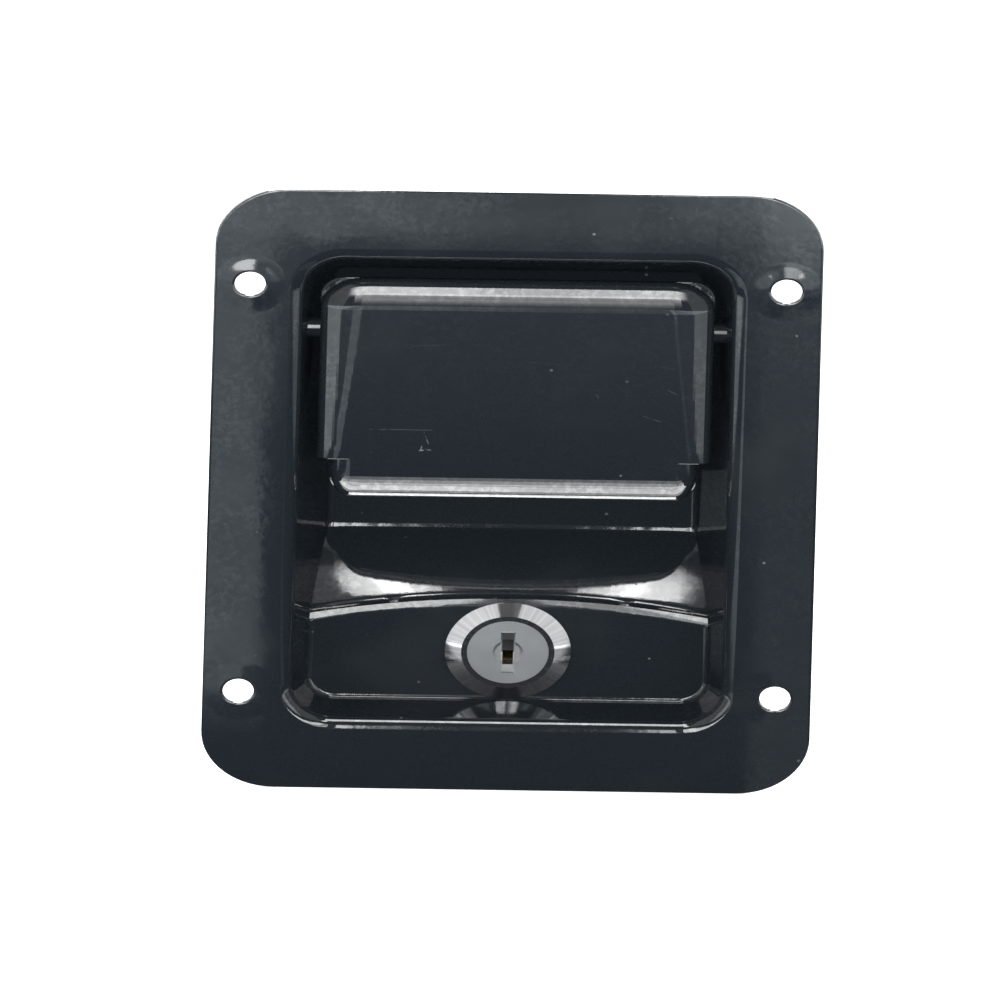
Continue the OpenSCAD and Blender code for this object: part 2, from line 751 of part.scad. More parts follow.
module lock_wafers() color("#c8a24a") upright() for (i = [0 : wafer_count - 1])
    translate([0, lock_z - wafer_drop, wafer_z(i)]) difference() {
        cube([wafer_w, wafer_h, wafer_t], center = true);
        translate([0, wafer_drop, 0])
            cube([keyway_w + wafer_window, keyway_h - wafer_window, 2 * wafer_t], center = true);
    }

module stop_washer() color("#8d8f92") upright() difference() {
    translate([0, lock_z, stop_front - washer_t]) {
        cylinder(d = plug_d + stop_rim, h = washer_t);
        rotate(90) rotate_extrude(angle = stop_angle) square([barrel_flats / 2, washer_t]);
    }
    translate([0, lock_z, stop_front])
        cube([tenon_w + 4 * fit, tenon_w + 4 * fit, 4 * washer_t], center = true);
}

// Hooked cam, drawn as it stands when locked, then turned back to its place at rest
module lock_cam() color("#b4b6b8") upright() translate([0, lock_z, cam_back]) rotate(90) difference() {
    linear_extrude(cam_t) {
        circle(r = cam_w);
        intersection() {
            circle(r = cam_reach);
            union() {
                translate([shank_x - cam_w, 0]) square([cam_w, cam_reach]);
                translate([shank_x - cam_w, cam_reach - hook_h])
                    square([cam_w + hook_x - shank_x, hook_h]);
            }
        }
    }
    cube([tenon_w + 4 * fit, tenon_w + 4 * fit, 4 * cam_t], center = true);
}

module cam_washer() color("#a8aaac") upright() difference() {
    on_lock(plug_d, cam_washer_back, cam_back);
    on_lock(screw_shank_d + 2 * fit, cam_washer_back - over, cam_back + over);
}

module cam_screw() color("#a8aaac") upright() difference() {
    union() {
        on_lock(screw_shank_d, cam_washer_back, cam_washer_back + screw_l - screw_tip_gap);
        on_lock(2 * screw_shank_d, cam_washer_back - screw_head_h, cam_washer_back);
    }
    for (turn = [0, 90]) translate([0, lock_z, cam_washer_back - screw_head_h]) rotate(turn)
        cube([screw_slot.x, screw_slot.y, screw_head_h], center = true);
}

pan();
hinge_pin();
pin_clips();
latch_housing();
housing_rivets();
bolt_spring();
spring_guide();
paddle_spring_left();
paddle_spring_right();
lock_barrel();
lock_washer();
lock_nut();
paddle();
paddle_arm();
slam_bolt();
lock_bar();
lock_bar_rivets();
lock_plug();
stop_washer();
lock_cam();
cam_washer();
cam_screw();
lock_wafers();
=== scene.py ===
import json
import math
import bmesh
import bpy
from mathutils import Matrix, Vector


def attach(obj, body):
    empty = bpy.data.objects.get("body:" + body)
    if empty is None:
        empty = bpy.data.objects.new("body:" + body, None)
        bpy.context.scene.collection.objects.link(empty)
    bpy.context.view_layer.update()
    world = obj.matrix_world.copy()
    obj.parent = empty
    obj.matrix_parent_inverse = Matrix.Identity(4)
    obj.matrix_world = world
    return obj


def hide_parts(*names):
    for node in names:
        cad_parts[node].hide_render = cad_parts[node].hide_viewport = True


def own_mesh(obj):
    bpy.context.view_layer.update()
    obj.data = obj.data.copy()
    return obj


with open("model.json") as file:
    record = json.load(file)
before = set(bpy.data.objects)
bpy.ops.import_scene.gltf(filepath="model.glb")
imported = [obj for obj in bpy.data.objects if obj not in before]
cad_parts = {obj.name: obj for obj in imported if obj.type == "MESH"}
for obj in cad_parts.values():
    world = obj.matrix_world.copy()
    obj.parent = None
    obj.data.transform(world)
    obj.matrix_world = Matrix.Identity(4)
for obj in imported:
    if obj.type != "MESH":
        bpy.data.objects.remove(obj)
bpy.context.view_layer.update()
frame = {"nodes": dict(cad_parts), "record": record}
nodes = frame["nodes"]
mm = 0.001
print("frame loaded:", len(nodes), "nodes")


# Finishes: shader maths as expressions on sockets

class Sock:
    def __init__(self, finish, socket):
        self.finish = finish
        self.socket = socket

    def maths(self, operation, first, second):
        return self.finish.add("ShaderNodeMath", {"operation": operation}, {0: first, 1: second})

    def __add__(self, other):
        return self.maths("ADD", self, other)

    def __radd__(self, other):
        return self.maths("ADD", other, self)

    def __sub__(self, other):
        return self.maths("SUBTRACT", self, other)

    def __rsub__(self, other):
        return self.maths("SUBTRACT", other, self)

    def __mul__(self, other):
        return self.maths("MULTIPLY", self, other)

    def __rmul__(self, other):
        return self.maths("MULTIPLY", other, self)

    def __truediv__(self, other):
        return self.maths("DIVIDE", self, other)

    def __rtruediv__(self, other):
        return self.maths("DIVIDE", other, self)

    def __pow__(self, other):
        return self.maths("POWER", self, other)

    def __abs__(self):
        return self.finish.add("ShaderNodeMath", {"operation": "ABSOLUTE"}, {0: self})


class Finish:
    def __init__(self, name, owner=None):
        self.owner = owner or bpy.data.materials.new(name)
        self.owner.use_nodes = True
        self.tree = self.owner.node_tree
        self.tree.nodes.clear()

    def add(self, kind, settings=None, sockets=None, output=0):
        node = self.tree.nodes.new(kind)
        for key, value in (settings or {}).items():
            setattr(node, key, value)
        for key, value in (sockets or {}).items():
            if isinstance(value, Sock):
                self.tree.links.new(value.socket, node.inputs[key])
            else:
                node.inputs[key].default_value = value
        return Sock(self, node.outputs[output]) if node.outputs else node

    def rays(self, *names):
        path = self.add("ShaderNodeLightPath").socket.node
        return [Sock(self, path.outputs[name]) for name in names]

    def place(self):
        return self.add("ShaderNodeTexCoord", output="Object")

    def axes(self, vector=None):
        split = self.add("ShaderNodeSeparateXYZ", sockets={"Vector": vector or self.place()})
        return [Sock(self, out) for out in split.socket.node.outputs]

    def noise(self, scale, detail=2.0, vector=None, rough=0.5):
        return self.add("ShaderNodeTexNoise", sockets={
            "Vector": vector or self.place(), "Scale": scale, "Detail": detail, "Roughness": rough})

    def fade(self, value, start, end, low=0.0, high=1.0):
        return self.add("ShaderNodeMapRange", {"interpolation_type": "SMOOTHSTEP"}, {
            "Value": value, "From Min": start, "From Max": end, "To Min": low, "To Max": high})

    def blend(self, share, first, second):
        colour = [(*c, 1) if isinstance(c, tuple) else c for c in (first, second)]
        return self.add("ShaderNodeMix", {"data_type": "RGBA"}, {0: share, 6: colour[0], 7: colour[1]}, output=2)

    def bump(self, height, strength, distance):
        return self.add("ShaderNodeBump", sockets={"Height": height, "Strength": strength, "Distance": distance})

    def shade(self, sockets):
        shader = self.add("ShaderNodeBsdfPrincipled", sockets=sockets)
        self.add("ShaderNodeOutputMaterial", sockets={"Surface": shader})
        return self.owner


paintLook = {
    "colour": (0.0122, 0.0163, 0.0205), "dust": (0.16, 0.165, 0.17), "roughness": 0.03,
    "smudgeScale": 38.0, "hazeMost": 0.035, "smudgeRough": 0.03, "markRough": 0.35,
    "peelScale": 190.0, "peelDepth": 0.006 * mm, "rippleScale": 620.0, "rippleShare": 0.45,
    "grainScale": 2400.0, "grainShare": 0.06, "speckScale": 210.0, "speckPatch": 95.0, "speckDust": 0.55,
    "speckShare": 0.4, "scratchGrain": 1500.0, "scratchWander": 2.2, "scratchGap": 900.0,
    "coatGrain": 850.0, "coatPatch": 110.0, "coatMost": 0.55, "coatRough": 0.06,
}


def makePaint(name, scratches=(), burr=None):
    f = Finish(name)
    p = paintLook
    smudge = f.noise(p["smudgeScale"], 3.0)
    peel = f.noise(p["peelScale"], 1.5) + f.noise(p["rippleScale"], 1.0) * p["rippleShare"]
    grain = f.noise(p["grainScale"], 2.0)
    cells = f.add("ShaderNodeTexVoronoi", sockets={"Vector": f.place(), "Scale": p["speckScale"], "Randomness": 1.0})
    speck = f.fade(cells, 0.075, 0.045) * f.fade(f.noise(p["speckPatch"], 2.0), 0.56, 0.62)
    mark = speck * p["speckDust"] + f.fade(smudge, 0.52, 0.75) * p["hazeMost"]
    x, y, z = f.axes()
    for start, end, width, strength in scratches:
        run = Vector(end) - Vector(start)
        along = ((x - start[0]) * run.x + (z - start[1]) * run.y) / run.length_squared
        across = ((x - start[0]) * run.y - (z - start[1]) * run.x) / run.length
        inside = f.fade(along, -0.05, 0.05) * f.fade(along, 1.05, 0.95)
        ragged = across + (f.noise(p["scratchGrain"], 2.0) - 0.5) * (p["scratchWander"] * width)
        line = f.fade(ragged * ragged, width ** 2, 0.2 * width ** 2) * inside
        mark = mark + line * f.fade(f.noise(p["scratchGap"], 1.0), 0.35, 0.5, 0.0, strength)
    mark = f.add("ShaderNodeClamp", sockets={"Value": mark})
    clear = f.fade(f.noise(p["coatGrain"], 4.0, rough=0.65), 0.40, 0.68, 0.0, p["coatMost"])  # thicker clear coat
    clear = clear * f.fade(f.noise(p["coatPatch"], 3.0), 0.32, 0.66, 0.25, 1.0)
    height = peel + grain * p["grainShare"] + speck * p["speckShare"]
    if burr:  # metal raised round the punched holes
        aside, above = abs(x) - burr["at"], abs(z) - burr["at"]
        height = height + f.fade((aside * aside + above * above) ** 0.5, burr["inner"], burr["outer"],
                                 burr["rise"] / p["peelDepth"], 0.0)
    return f.shade({
        "Base Color": f.blend(mark, p["colour"], p["dust"]),
        "Roughness": p["roughness"] + f.fade(smudge, 0.3, 0.7) * p["smudgeRough"] + mark * p["markRough"],
        "Coat Weight": clear,
        "Coat Roughness": p["coatRough"],
        "Normal": f.bump(height, 1.0, p["peelDepth"]),
    })


metalLook = {
    "cloudScale": 120.0, "cloudRough": 0.10, "streakScale": 900.0, "streakRough": 0.12, "fineStreak": 0.02,
    "bumpShare": 0.35, "bumpDepth": 0.02 * mm, "rayScale": 260.0, "rayTurn": 0.05, "rayShare": 0.7,
}


def makeMetal(name, colour, tint, roughness, turned=None, broach=None):
    f = Finish(name)
    p = metalLook
    cloud = f.noise(p["cloudScale"], 3.0)
    streak = f.noise(p["streakScale"], 3.0)
    height = streak
    if turned:  # streaks that run out from the lathe's axis
        x, y, z = f.axes()
        height = streak * p["fineStreak"]
        around = f.add("ShaderNodeMath", {"operation": "ARCTAN2"}, {0: x, 1: z - turned["axis"]})
        ray = f.add("ShaderNodeCombineXYZ", sockets={"X": around * p["rayTurn"]})
        cloud = cloud * (1 - p["rayShare"]) + f.noise(p["rayScale"], 3.0, ray) * p["rayShare"]
    if broach:  # the keyway's mouth looks a little steeper than its shape
        x, y, z = f.axes()
        far = abs(z - broach["axis"])
        inside = f.fade(x * x, broach["side"] ** 2, broach["sideIn"] ** 2)
        inside = inside * f.fade(far, broach["end"], broach["endIn"])
        slope = broach["slope"] / (p["bumpDepth"] * p["bumpShare"])
        height = streak * p["fineStreak"] + inside * far * slope
    return f.shade({
        "Base Color": f.blend(f.fade(cloud, 0.35, 0.7), colour, tint),
        "Metallic": 1.0,
        "Roughness": roughness + (streak - 0.5) * p["streakRough"] + (cloud - 0.5) * p["cloudRough"],
        "Normal": f.bump(height, p["bumpShare"], p["bumpDepth"]),
    })


lockZ = -39.4  # mm, the lock's axis
finishes = {
    "blackPaint": makePaint("gloss_black_paint"),
    "panPaint": makePaint("gloss_black_paint_pan", burr={
        "at": 47.625 * mm, "inner": 2.0 * mm, "outer": 7.0 * mm, "rise": 0.16 * mm}),
    "zincPlate": makeMetal("zinc_plate", (0.60, 0.61, 0.63), (0.66, 0.64, 0.58), 0.30),
    "springSteel": makeMetal("spring_steel", (0.40, 0.40, 0.42), (0.46, 0.45, 0.44), 0.30),
    "chrome": makeMetal("polished_chrome", (0.62, 0.63, 0.65), (0.86, 0.87, 0.88), 0.10,
                        turned={"axis": lockZ * mm}),
    "nickel": makeMetal("satin_nickel", (0.64, 0.65, 0.66), (0.72, 0.73, 0.74), 0.42,
                        broach={"axis": lockZ * mm, "end": 4.85 * mm, "endIn": 4.559 * mm,
                                "side": 1.25 * mm, "sideIn": 1.05 * mm, "slope": 0.32}),
    "brass": makeMetal("wafer_brass", (0.34, 0.25, 0.11), (0.28, 0.20, 0.09), 0.36),
}
paddleScratches = (  # mm: start, end, width; then strength
    ((-25.6, 13.9), (-14.4, 13.9), 0.07, 0.35),
    ((-16.0, 13.4), (-14.8, 9.6), 0.08, 0.7),
    ((-16.8, 9.1), (-14.4, 9.4), 0.16, 1.0),
    ((-16.5, 9.2), (-16.3, 10.2), 0.10, 0.8),
    ((26.9, 24.2), (30.2, 21.9), 0.06, 0.3),
    ((22.3, 18.1), (26.0, 16.6), 0.06, 0.3),
    ((14.4, 22.8), (14.8, 21.9), 0.06, 0.4),
    ((24.5, 29.6), (28.8, 28.9), 0.05, 0.25),
    ((-20.0, 33.4), (-12.5, 33.9), 0.05, 0.2),
    ((2.0, 30.2), (9.0, 29.6), 0.05, 0.15),
)
paddlePaint = makePaint("gloss_black_paint_paddle", scratches=[
    ([v * mm for v in start], [v * mm for v in end], width * mm, strength)
    for start, end, width, strength in paddleScratches])
print("finishes made:", len(finishes) + 1)


def deselectAll():
    if bpy.context.object and bpy.context.object.mode != "OBJECT":
        bpy.ops.object.mode_set(mode="OBJECT")
    bpy.ops.object.select_all(action="DESELECT")


def makeActive(piece):
    deselectAll()
    piece.select_set(True)
    bpy.context.view_layer.objects.active = piece


def pickEdges(piece, test):
    mesh = bmesh.from_edit_mesh(piece.data)
    bpy.ops.mesh.select_mode(type="EDGE")
    bpy.ops.mesh.select_all(action="DESELECT")
    count = 0
    for edge in mesh.edges:
        if len(edge.link_faces) == 2 and test(edge, *[face.normal for face in edge.link_faces]):
            edge.select_set(True)
            count += 1
    mesh.select_flush_mode()
    bmesh.update_edit_mesh(piece.data)
    return count


def roundBends(piece, bends):
    for offset, segments, test in bends:
        count = pickEdges(piece, test)
        bpy.ops.mesh.bevel(offset_type="OFFSET", offset=offset * mm, segments=segments, profile=0.5,
                           clamp_overlap=False)
        print(piece.name, "bend of", offset, "mm on", count, "edges")


copyMesh = {"join": 0.01, "speck": 0.001, "cut": 0.0001, "flat": 0.3, "smooth": 32}  # mm, the last two degrees


def mergedCopy(node, name, join):
    # Copy of a CAD node, left in edit mode with its loose triangles joined
    piece = bpy.data.objects.new(name, nodes[node].data.copy())
    bpy.context.scene.collection.objects.link(piece)
    makeActive(piece)
    bpy.ops.object.mode_set(mode="EDIT")
    bpy.ops.mesh.select_all(action="SELECT")
    bpy.ops.mesh.customdata_custom_splitnormals_clear()
    bpy.ops.mesh.remove_doubles(threshold=join * mm)
    return piece


def smoothShade(degrees):
    bpy.ops.object.mode_set(mode="OBJECT")
    bpy.ops.object.shade_smooth_by_angle(angle=math.radians(degrees))


def collapseSpecks():
    # Edges and faces with no size go, and the shell stays closed
    bpy.ops.mesh.select_all(action="SELECT")
    bpy.ops.mesh.dissolve_degenerate(threshold=copyMesh["speck"] * mm)


def reshapedCopy(node, name, reshape, cuts, bends=(), backBends=()):
    # Copy of a CAD node that is cut into rows and reshaped, with its bends and cut edges rounded
    piece = mergedCopy(node, name, copyMesh["join"])
    bpy.ops.mesh.dissolve_limited(angle_limit=math.radians(copyMesh["flat"]))
    roundBends(piece, backBends)
    for axis, places in cuts:  # rows of cuts, so that what is reshaped comes out smooth
        for place in places:
            bpy.ops.mesh.select_all(action="SELECT")
            bpy.ops.mesh.bisect(plane_co=[place * mm * step for step in axis], plane_no=axis,
                                threshold=copyMesh["cut"] * mm)
    mesh = bmesh.from_edit_mesh(piece.data)
    for vert in mesh.verts:
        vert.co = Vector(reshape(*(vert.co / mm))) * mm
    bmesh.update_edit_mesh(piece.data)
    collapseSpecks()
    roundBends(piece, bends)
    collapseSpecks()
    smoothShade(copyMesh["smooth"])
    even = piece.modifiers.new("even_shading", "WEIGHTED_NORMAL")
    even.keep_sharp = True
    bpy.ops.object.modifier_apply(modifier=even.name)
    return piece


def finishPiece(piece, body, slotName, material, *replaced):
    piece.data.materials.clear()
    piece.data.materials.append(material)
    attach(piece, body)
    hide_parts(*replaced)


panPress = {  # mm, angles in radians
    "frontBend": 0.8, "backBend": 0.9, "cutEdge": 0.5, "sharpest": math.radians(24), "sheet": 1.6,
    "crestAxis": -187.2, "crestRadius": 160.0, "crestBend": 7.0, "panelY": 11.4, "panelGap": 0.004,
    "rampTilt": math.atan2(11.0, 14.7), "rampDeep": 11.0, "rampHalf": 36, "rampLow": -35.2, "rampTop": -8,
    "frontGap": 0.2, "rampSide": (-34, -13), "footRadius": 174.7, "barrelHole": 9.6,
    "acrossStep": 1.5, "acrossRows": 24, "bendRows": 14, "firstBendRow": 4, "rampStart": 2, "rampStep": 0.75,
    "rampRows": 12,
}


def ontoCrest(r, y):
    # Nearest point of the bend or the ramp behind it, and how far it is; r is counted from the crest's axis
    p = panPress
    bendR, bendY = p["crestRadius"] - p["crestBend"] * math.tan(p["rampTilt"] / 2), p["panelY"] + p["crestBend"]
    turn = math.atan2(r - bendR, bendY - y)
    if turn < p["rampTilt"]:
        gap = p["crestBend"] - math.hypot(r - bendR, bendY - y)
        return r + gap * math.sin(turn), y - gap * math.cos(turn), abs(gap)
    gap = (y - p["panelY"]) * math.cos(p["rampTilt"]) - (r - p["crestRadius"]) * math.sin(p["rampTilt"])
    return r + gap * math.sin(p["rampTilt"]), y - gap * math.cos(p["rampTilt"]), abs(gap)


def straightFoot(x, y, z):
    # The ramp runs from the curved crest to a straight foot
    p = panPress
    onRamp = abs(x) < p["rampHalf"] and p["rampLow"] < z < p["rampTop"] and y > p["panelY"] + p["panelGap"]
    if not onRamp:
        return x, y, z
    r, nearY, gap = ontoCrest(math.hypot(x, z - p["crestAxis"]), y)
    isFront = gap < p["frontGap"]
    if isFront:
        y, z = nearY, p["crestAxis"] + math.sqrt(r * r - x * x)
    deep = y - p["panelY"] - (0 if isFront else p["sheet"])
    share = min(max(deep / p["rampDeep"], 0), 1)
    return x, y, z + share * (p["footRadius"] - math.sqrt(p["footRadius"] ** 2 - x * x))


def panCuts():
    p = panPress
    turns = [p["rampTilt"] * i / p["bendRows"] for i in range(p["firstBendRow"], p["bendRows"] + 1)]
    return (
        ((1, 0, 0), [p["acrossStep"] * i for i in range(-p["acrossRows"], p["acrossRows"] + 1)]),
        ((0, 1, 0), [p["panelY"] + p["crestBend"] * (1 - math.cos(turn)) for turn in turns]),
        ((0, 1, 0), [p["panelY"] + p["rampStart"] + p["rampStep"] * i for i in range(p["rampRows"])]),
    )


def isFrontBend(edge, first, second):
    low, high = sorted(vert.co.z / mm for vert in edge.verts)
    (sideLow, sideHigh), angle = panPress["rampSide"], edge.calc_face_angle_signed()
    isRampSide = low > sideLow and high < sideHigh and max(abs(first.x), abs(second.x)) > 0.5
    return not isRampSide and first.y < -0.1 and second.y < -0.1 and angle < -panPress["sharpest"]


def isBackBend(edge, first, second):
    return first.y > 0.1 and second.y > 0.1 and edge.calc_face_angle_signed() > panPress["sharpest"]


def isCutEdge(edge, first, second):
    flat, side = sorted((abs(first.y), abs(second.y)), reverse=True)
    middle = (edge.verts[0].co + edge.verts[1].co) / (2 * mm)
    if math.hypot(middle.x, middle.z - lockZ) < panPress["barrelHole"]:  # under the bezel, stays sharp
        return False
    return flat > 0.95 and side < 0.08 and edge.calc_face_angle_signed() > panPress["sharpest"]


panShell = reshapedCopy("pan", "pan_pressing", straightFoot, panCuts(), (
    (panPress["frontBend"], 4, isFrontBend),
    (panPress["cutEdge"], 2, isCutEdge),
), ((panPress["backBend"], 4, isBackBend),))
finishPiece(panShell, "pan_body", "black_paint", finishes["panPaint"], "pan")

paddlePress = {  # mm, the angle in radians
    "cutEdge": 0.3, "edgeAngle": math.radians(50), "half": 35.0, "top": 48.8, "low": -2.3, "earLow": 6.7,
    "earGap": 0.05, "tongueHalf": 32.5, "face": -0.6, "roll": 3.5, "widen": 4.8, "topRoll": 7.0, "lipRoll": 6.5,
    "firstCut": 0.4, "cutStep": 0.45, "sideRows": 18, "topRows": 16, "lipRows": 14, "faceCuts": range(10, 40, 4),
}


def rollDrop(side, end, sideRoll, endRoll):
    # How far the rolled face falls back at these distances from the paddle's side and its top or lip
    turn = min(1.0, math.hypot(max(0.0, 1 - side / sideRoll), max(0.0, 1 - end / endRoll)))
    return paddlePress["roll"] * (1 - math.sqrt(1 - turn * turn))


def openFolds(x, y, z):
    # The folds open out: the sides towards the top, the top edge and the lip
    p = paddlePress
    if y > p["face"] + p["roll"]:
        return x, y, z
    share = min(max((z - p["earLow"]) / (p["top"] - p["earLow"]), 0), 1)
    half = p["half"] if z > p["earLow"] + p["earGap"] else p["tongueHalf"]
    middle = (p["top"] + p["low"]) / 2
    side, end = half - abs(x), min(p["top"] - z, z - p["low"])
    opened = rollDrop(side, end, p["roll"] + p["widen"] * share, p["topRoll"] if z > middle else p["lipRoll"])
    return x, y + max(0.0, opened - rollDrop(side, end, p["roll"], p["roll"])), z


def paddleCuts():
    p = paddlePress
    first, step = p["firstCut"], p["cutStep"]
    return (
        ((1, 0, 0), [sign * (p["half"] - first - step * i) for sign in (-1, 1) for i in range(p["sideRows"])]),
        ((0, 0, 1), [p["top"] - first - step * i for i in range(p["topRows"])] + list(p["faceCuts"])),
        ((0, 0, 1), [p["low"] + first + step * i for i in range(p["lipRows"])]),
    )


def isSheetEdge(edge, first, second):
    return edge.calc_face_angle_signed() > paddlePress["edgeAngle"]


paddleShell = reshapedCopy("paddle", "paddle_pressing", openFolds, paddleCuts(),
                           ((paddlePress["cutEdge"], 2, isSheetEdge),))
finishPiece(paddleShell, "paddle_body", "black_paint", paddlePaint, "paddle")
print("pan and paddle pressed")

lockTurn = {  # mm
    "barrel": 9.2, "flats": 7.9, "from": 13.5, "pitch": 1.0, "rows": 33, "thread": 0.36,
    "broachEnd": 4.8, "broachHalf": 1.4, "broachDeep": 9.5, "broachRise": 0.44, "keyway": 2.9,
}


def cutThread(x, y, z):
    # Every second row of points goes in by the thread's depth, along the flat where it ends on one
    row = (y - lockTurn["from"]) / (lockTurn["pitch"] / 2)
    up, radius = z - lockZ, lockTurn["barrel"] - lockTurn["thread"]
    onThread = abs(row - round(row)) < 0.01 and 0 < row < lockTurn["rows"] - 0.5 and round(row) % 2
    if not onThread or math.hypot(x, up) < lockTurn["barrel"] - 0.06:
        return x, y, z
    if abs(x) > lockTurn["flats"] - 0.01:
        return x, y, lockZ + math.copysign(math.sqrt(radius ** 2 - x * x), up)
    share = radius / math.hypot(x, up)
    return x * share, y, lockZ + up * share


def slopeBroach(x, y, z):
    # The outer ends of the keyway's mouth come up towards the face
    atEnd = abs(abs(z - lockZ) - lockTurn["broachEnd"]) < 0.02 and abs(x) < lockTurn["broachHalf"]
    return x, y - lockTurn["broachRise"] if atEnd and abs(y - lockTurn["broachDeep"]) < 0.02 else y, z


threadCuts = (((0, 1, 0), [lockTurn["from"] + lockTurn["pitch"] / 2 * i for i in range(lockTurn["rows"])]),)
broachCuts = (((0, 0, 1), [lockZ + lockTurn["keyway"] * sign for sign in (-1, 1)]),)
barrelThread = reshapedCopy("lock_barrel", "barrel_threaded", cutThread, threadCuts)
finishPiece(barrelThread, "pan_body", "lock_chrome", finishes["chrome"], "lock_barrel")
plugBroach = reshapedCopy("lock_plug", "plug_broached", slopeBroach, broachCuts)
finishPiece(plugBroach, "plug_body", "satin_nickel", finishes["nickel"], "lock_plug")
print("lock barrel threaded, keyway broached")

coilMesh = {"join": 0.005, "smooth": 50}  # mm, degrees
for node in ("bolt_spring", "paddle_spring_left", "paddle_spring_right"):
    coil = mergedCopy(node, node + "_coil", coilMesh["join"])
    smoothShade(coilMesh["smooth"])
    finishPiece(coil, "pan_body", "spring_steel", finishes["springSteel"], node)
    if node == "bolt_spring":  # the spring is pressed together as the bolt goes back; here it only gets a mesh of its own
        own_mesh(coil)
print("springs coiled")


# Carried-over CAD nodes take the finish of their slot
slotFinish = {
    "black_paint": "blackPaint", "zinc_plate": "zincPlate", "spring_steel": "springSteel",
    "lock_chrome": "chrome", "satin_nickel": "nickel", "wafer_brass": "brass",
}
for row in frame["record"]["subparts"]:
    node = nodes[row["node"]]
    node.data.materials.clear()
    node.data.materials.append(finishes[slotFinish[row["material_slot"]]])
print("CAD nodes finished")


# Stage: a pale floor with a glowing pattern that only reflections see (painted light for the reflections in the
# black paint), the world, and the lamps
floorLook = {"z": -70.0 * mm, "reach": 6.0, "pale": (0.82, 0.82, 0.82), "lift": 0.75, "cool": (0.90, 1.0, 1.05)}

deselectAll()
bpy.ops.mesh.primitive_plane_add(size=2 * floorLook["reach"], location=(0, 0, floorLook["z"]))
floor = bpy.context.object
floor.name = "floor"
bpy.ops.object.transform_apply(location=True)

# The glowing pattern's places are metres on the floor; each part is a painted reflection that shows in the flange or
# beside the bezel, such as the flange's lighter top and left
f = Finish("pale_floor")
isCamera, isGlossy = f.rays("Is Camera Ray", "Is Glossy Ray")
x, y, z = f.axes()
patch = f.add("ShaderNodeCombineXYZ", sockets={"X": x, "Y": y / 6.0})
cloud = f.noise(95.0, 4.0, patch, 0.6)
wobble = f.noise(420.0, 4.0, patch, 0.65) - 0.5
ragged, aside = y + wobble * 0.06, x + wobble * 0.006
away = f.fade(y, -0.42, -0.70, 0.04, 0.26)
top = f.fade(ragged, -0.760, -0.790) * f.fade(cloud, 0.35, 0.65, 0.55, 1.25) * (
    f.fade(x, 0.01, -0.025, 0.45, 1.2) + f.fade(x, 0.028, 0.048, 0.0, 1.15))
left = f.fade(aside, -0.0425, -0.0450, 0.0, 1.05) * f.fade(x, -0.20, -0.17) * f.fade(y, -0.06, -0.20) * (
    f.fade(cloud, 0.3, 0.7, 0.85, 1.15) * f.fade(ragged, -0.79, -0.75, 0.35, 1.0))
right = f.fade(aside, 0.0415, 0.0450, 0.0, 0.24) * f.fade(x, 0.09, 0.07)
corner = f.fade(aside, 0.040, 0.046, 0.0, 0.9) * f.fade(x, 0.09, 0.07) * f.fade(ragged, -0.66, -0.72)
beside = f.fade(x, -0.40, -0.47, 0.0, 1.6) + f.fade(x, 0.40, 0.46, 0.0, 0.8)
# Camera rays see an evenly pale floor; glossy rays see the glowing pattern, which paints reflections into the paint
floorAndReflectionGlow = isCamera * floorLook["lift"] + isGlossy * (away + top + corner + left + right + beside)
glow = f.add("ShaderNodeEmission", sockets={
    "Color": f.blend(isGlossy, (1.0, 1.0, 1.0), floorLook["cool"]), "Strength": floorAndReflectionGlow})
matte = f.add("ShaderNodeBsdfDiffuse", sockets={"Color": (*floorLook["pale"], 1)})
both = f.add("ShaderNodeAddShader", sockets={0: glow, 1: matte})
dim = f.add("ShaderNodeMixShader", sockets={0: isGlossy, 1: both, 2: glow})
f.add("ShaderNodeOutputMaterial", sockets={"Surface": dim})
floor.data.materials.append(f.owner)

worldLook = {"seen": 1.0, "mirrored": 0.12, "lit": 0.4}
world = bpy.data.worlds.new("studio")
bpy.context.scene.world = world
f = Finish("studio", world)
isCamera, isGlossy = f.rays("Is Camera Ray", "Is Glossy Ray")
level = isCamera * (worldLook["seen"] - worldLook["lit"]) + isGlossy * (
    worldLook["mirrored"] - worldLook["lit"]) + worldLook["lit"]
sky = f.add("ShaderNodeBackground", sockets={"Color": (1, 1, 1, 1), "Strength": level})
f.add("ShaderNodeOutputWorld", sockets={"Surface": sky})

